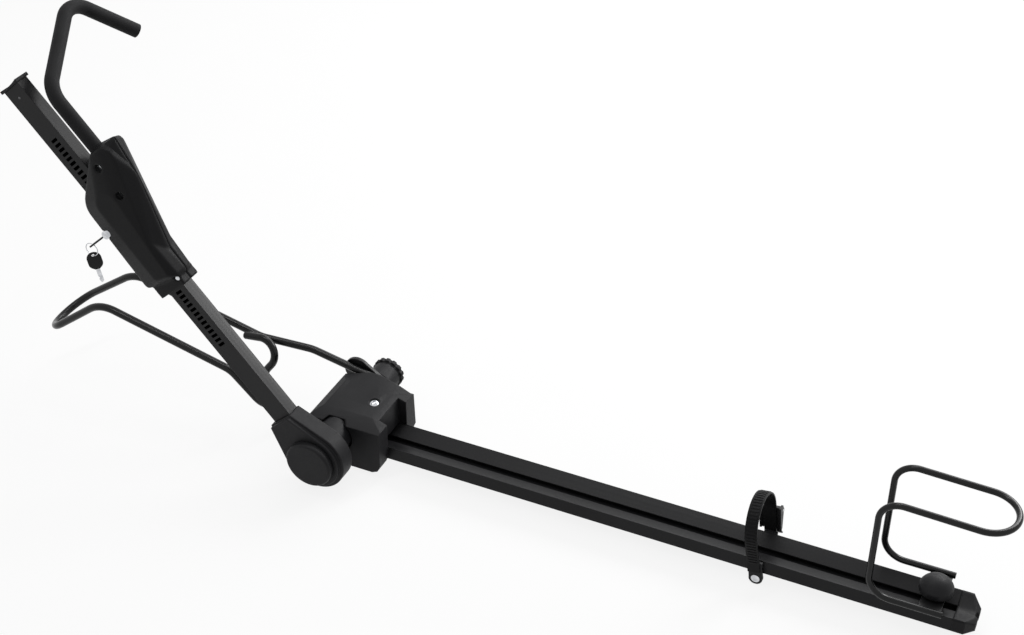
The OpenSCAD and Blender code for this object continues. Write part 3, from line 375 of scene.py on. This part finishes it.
def ring_of_points(spline, points):
    """Makes a spline a closed ring of flat points, given in mm."""
    spline.points.add(len(points) - 1)
    for point, (u, v) in zip(spline.points, points):
        point.co = (u / MM_PER_M, v / MM_PER_M, 0.0, 1.0)
    spline.use_cyclic_u = True


outline = []
straight = (BOW_TOP - BOW_LOW) / 2.0 - BOW_HALF_W
for turn in turns(BOW_STEPS):
    u, v = BOW_HALF_W * math.cos(turn), BOW_HALF_W * math.sin(turn)
    v += (BOW_TOP + BOW_LOW) / 2.0 + math.copysign(straight, v)
    if v < BOW_LOW / 2.0 and abs(u) < BOW_STEM_HALF:
        v = BOW_LOW
    outline.append((u, v))
hole = [(BOW_HOLE_R * math.cos(turn), BOW_HOLE_R * math.sin(turn)) for turn in turns(BOW_STEPS)]
bow_curve = bpy.data.curves.new("bow_outline", "CURVE")
bow_curve.dimensions = "2D"
bow_curve.fill_mode = "BOTH"
bow_curve.extrude = (BOW_HALF_T - BOW_EDGE) / MM_PER_M
bow_curve.bevel_depth = BOW_EDGE / MM_PER_M
bow_curve.bevel_resolution = BOW_EDGE_STEPS
bow_curve.offset = -BOW_EDGE / MM_PER_M
ring_of_points(bow_curve.splines.new("POLY"), outline)
ring_of_points(bow_curve.splines.new("POLY"), hole)
bow_plate = bpy.data.objects.new("bow_outline", bow_curve)
bow_mesh = bow_plate.to_mesh()
work = bmesh.new()
work.from_mesh(bow_mesh)
bow_plate.to_mesh_clear()
bpy.data.objects.remove(bow_plate)
bpy.data.curves.remove(bow_curve)
bmesh.ops.remove_doubles(work, verts=work.verts, dist=MERGE_DIST)
pivot = next(joint["pos_m"] for joint in behaviour["joints"] if joint["name"] == "spare_swing")
swing = Matrix.Rotation(SPARE_TURN, 4, "Z") @ Matrix.Rotation(SPARE_LEAN, 4, "X")
# the outline's u, v and thickness lie along the hanging key's y, z and x
plate_axes = Matrix(((0.0, 0.0, 1.0, 0.0), (1.0, 0.0, 0.0, 0.0),
                     (0.0, 1.0, 0.0, 0.0), (0.0, 0.0, 0.0, 1.0)))
work.transform(Matrix.Translation(Vector(pivot)) @ swing @ plate_axes)
bmesh.ops.recalc_face_normals(work, faces=work.faces)
stand_in("spare_key", work).data.set_sharp_from_angle(angle=CREASE_ANGLE)

# Weld bead between the hoop's leg and the end of its cross rod, in overlapping ripples, in mm
BEAD_AT = (AXLE[0] - 197.0, AXLE[1] + 39.5, AXLE[2] + 62.0)
BEAD_HALF, BEAD_RISE, BEAD_R = 10.0, -1.3, 4.6
BEAD_RIPPLES, BEAD_RIPPLE_SHARE = 6, 0.06
BEAD_RINGS, BEAD_SIDES = 40, 20
# the bead swells as a sine does, from this far into its half turn over this much of it
BEAD_START, BEAD_SPAN, BEAD_POWER = 0.04, 0.92, 0.5
# the blob that closes the cross rod's end, its radii and its facets
BLOB_AT = (AXLE[0] - 204.6, AXLE[1] + 33.6, AXLE[2] + 62.3)
BLOB_R = (4.4, 6.0, 6.0)
BLOB_AROUND, BLOB_ALONG = 20, 12
UNIT_R = 0.001
work = bmesh.new()
rings = []
for ring in range(BEAD_RINGS + 1):
    share = ring / BEAD_RINGS
    swell = math.sin(math.pi * (BEAD_START + BEAD_SPAN * share)) ** BEAD_POWER
    ripple = 1.0 + BEAD_RIPPLE_SHARE * math.cos(2.0 * math.pi * BEAD_RIPPLES * share)
    rings.append([work.verts.new(Vector((
        BEAD_AT[0] - BEAD_HALF + 2.0 * BEAD_HALF * share,
        BEAD_AT[1] + BEAD_R * swell * ripple * math.cos(turn),
        BEAD_AT[2] + (2.0 * share - 1.0) * BEAD_RISE
        + BEAD_R * swell * ripple * math.sin(turn))) / MM_PER_M)
        for turn in turns(BEAD_SIDES)])
for low, high in zip(rings, rings[1:]):
    for side in range(BEAD_SIDES):
        after = (side + 1) % BEAD_SIDES
        work.faces.new((low[side], low[after], high[after], high[side]))
work.faces.new(rings[0][::-1])
work.faces.new(rings[-1])
blob_place = Matrix.Translation(Vector(BLOB_AT) / MM_PER_M) @ Matrix.Diagonal((*BLOB_R, 1.0))
bmesh.ops.create_uvsphere(work, u_segments=BLOB_AROUND, v_segments=BLOB_ALONG, radius=UNIT_R,
                          matrix=blob_place)
bmesh.ops.recalc_face_normals(work, faces=work.faces)
shown("weld_bead", work, "front_hoop")

# Camera, floor and light
camera_data = bpy.data.cameras.new("camera")
camera_data.sensor_fit = "HORIZONTAL"
camera_data.sensor_width = SENSOR_MM
camera_data.lens = FOCAL_PX / IMAGE_W * SENSOR_MM
camera_data.clip_start = CLIP_NEAR
camera_data.clip_end = CLIP_FAR
camera = bpy.data.objects.new("camera", camera_data)
bpy.context.scene.collection.objects.link(camera)
back = VIEW_RIGHT.cross(VIEW_UP)
camera.matrix_world = Matrix.Translation(EYE) @ Matrix((VIEW_RIGHT, VIEW_UP, back)).transposed().to_4x4()
bpy.context.scene.camera = camera


def white_for_viewer(tree, add):
    """1 for rays that show the background: seen directly, mirrored or through glass."""
    path = add("ShaderNodeLightPath")
    total = path.outputs["Is Camera Ray"]
    for kind in ("Is Glossy Ray", "Is Transmission Ray"):
        larger = add("ShaderNodeMath")
        larger.operation = "MAXIMUM"
        tree.links.new(total, larger.inputs[0])
        tree.links.new(path.outputs[kind], larger.inputs[1])
        total = larger.outputs[0]
    return total


# Half the floor's width and its distance below the part, in metres, its tones and its share of plain white
FLOOR_HALF, FLOOR_DROP = 12.0, 0.001
FLOOR_DARK, FLOOR_LIGHT = (0.84, 0.84, 0.84), (0.86, 0.86, 0.86)
FLOOR_WHITE = 0.86
floor_mesh = bpy.data.meshes.new("floor")
floor_z = cad_box[0].z - FLOOR_DROP
floor_mesh.from_pydata(
    [(x, y, floor_z) for x, y in ((-FLOOR_HALF, -FLOOR_HALF), (FLOOR_HALF, -FLOOR_HALF),
                                  (FLOOR_HALF, FLOOR_HALF), (-FLOOR_HALF, FLOOR_HALF))],
    [], [(0, 1, 2, 3)])
floor = bpy.data.objects.new("floor", floor_mesh)
bpy.context.scene.collection.objects.link(floor)
paper, tree, shader, add = node_tree("floor_paper")
shader.inputs["Roughness"].default_value = 0.9
shader.inputs["Specular IOR Level"].default_value = 0.1
paper_tone = tint(tree, add, noise(tree, add, scale=6.0), FLOOR_DARK, FLOOR_LIGHT)
tree.links.new(paper_tone, shader.inputs["Base Color"])
glow = add("ShaderNodeEmission")
glow.inputs["Color"].default_value = (1.0, 1.0, 1.0, 1.0)
white_share = add("ShaderNodeMath")
white_share.operation = "MULTIPLY"
white_share.inputs[1].default_value = FLOOR_WHITE
tree.links.new(white_for_viewer(tree, add), white_share.inputs[0])
mix = add("ShaderNodeMixShader")
tree.links.new(white_share.outputs[0], mix.inputs["Fac"])
tree.links.new(shader.outputs[0], mix.inputs[1])
tree.links.new(glow.outputs[0], mix.inputs[2])
tree.links.new(mix.outputs[0], tree.nodes["Material Output"].inputs["Surface"])
floor_mesh.materials.append(paper)

# Strength of the white world as a light, and where the viewer sees it
SKY_LIGHT, SKY_SEEN = 0.30, 1.0
world = bpy.data.worlds.new("studio")
world.use_nodes = True
bpy.context.scene.world = world
tree = world.node_tree
sky = tree.nodes["Background"]
sky.inputs["Color"].default_value = (1.0, 1.0, 1.0, 1.0)
level = tree.nodes.new("ShaderNodeMapRange")
level.inputs["To Min"].default_value = SKY_LIGHT
level.inputs["To Max"].default_value = SKY_SEEN
tree.links.new(white_for_viewer(tree, tree.nodes.new), level.inputs["Value"])
tree.links.new(level.outputs["Result"], sky.inputs["Strength"])


def softbox(name, place, target, width, height, power):
    """A rectangular studio lamp that faces a point."""
    data = bpy.data.lights.new(name, "AREA")
    data.shape = "RECTANGLE"
    data.size, data.size_y = width, height
    data.energy = power
    lamp = bpy.data.objects.new(name, data)
    lamp.location = place
    lamp.rotation_mode = "QUATERNION"
    lamp.rotation_quaternion = (Vector(target) - Vector(place)).to_track_quat("-Z", "Y")
    bpy.context.scene.collection.objects.link(lamp)


softbox("back_softbox", (0.3, 2.6, 1.9), (-0.1, 0.0, 0.1), width=3.2, height=1.5, power=62.0)
softbox("top_softbox", (-0.9, 0.1, 3.1), (-0.7, 0.0, 0.1), width=4.2, height=0.3, power=38.0)
softbox("side_softbox", (0.85, 1.55, 1.22), (-0.7, -0.1, 0.35), width=0.8, height=0.8, power=20.0)

bpy.context.scene.view_settings.view_transform = "Standard"
